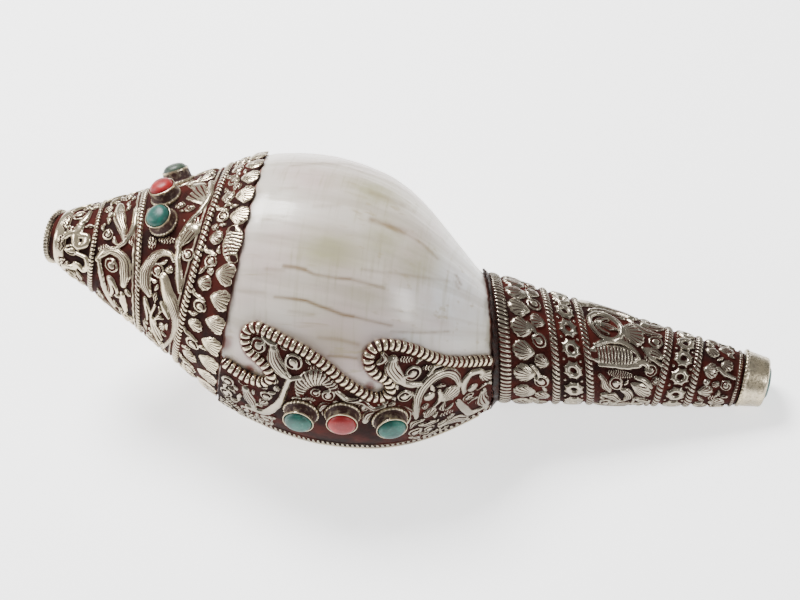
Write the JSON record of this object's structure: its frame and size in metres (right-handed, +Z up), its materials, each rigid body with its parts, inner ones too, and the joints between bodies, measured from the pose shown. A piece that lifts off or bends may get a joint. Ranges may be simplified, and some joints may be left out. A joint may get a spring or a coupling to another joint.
{
  "type": "sacred chank shell",
  "caption": "White chank shell made into a ritual horn: chased silver cap, lip mount and canal sleeve set with turquoise and coral cabochons, lying on its lip.",
  "frame": {"origin": "centre of the bounding box's floor, under the shell as it lies", "axes": "+X from the blowing end to the canal's tip, +Z up, -Y the outer lip's side"},
  "size_m": [0.1998, 0.0828, 0.0709],
  "materials": {
    "shell": "polished white shell with faint pink, green and ochre growth lines",
    "silver": "worn polished silver, recesses darkened maroon-brown",
    "lac": "dark dried lac",
    "turquoise": "polished cabochon with a dark web",
    "coral": "polished cabochon"
  },
  "bodies": {
    "root": {"shell": "shell", "apex_cap": "silver", "mouthpiece_ring": "silver", "canal_sleeve": "silver", "tip_ferrule": "silver", "tip_stone": "turquoise", "lip_mount": "silver", "lip_binding": "silver", "lac_seam": "lac", "cap_collet_1": "silver", "cap_stone_1": "turquoise", "cap_collet_2": "silver", "cap_stone_2": "coral", "cap_collet_3": "silver", "cap_stone_3": "turquoise", "lip_collet_1": "silver", "lip_stone_1": "turquoise", "lip_collet_2": "silver", "lip_stone_2": "coral", "lip_collet_3": "silver", "lip_stone_3": "turquoise"}
  },
  "joints": []
}
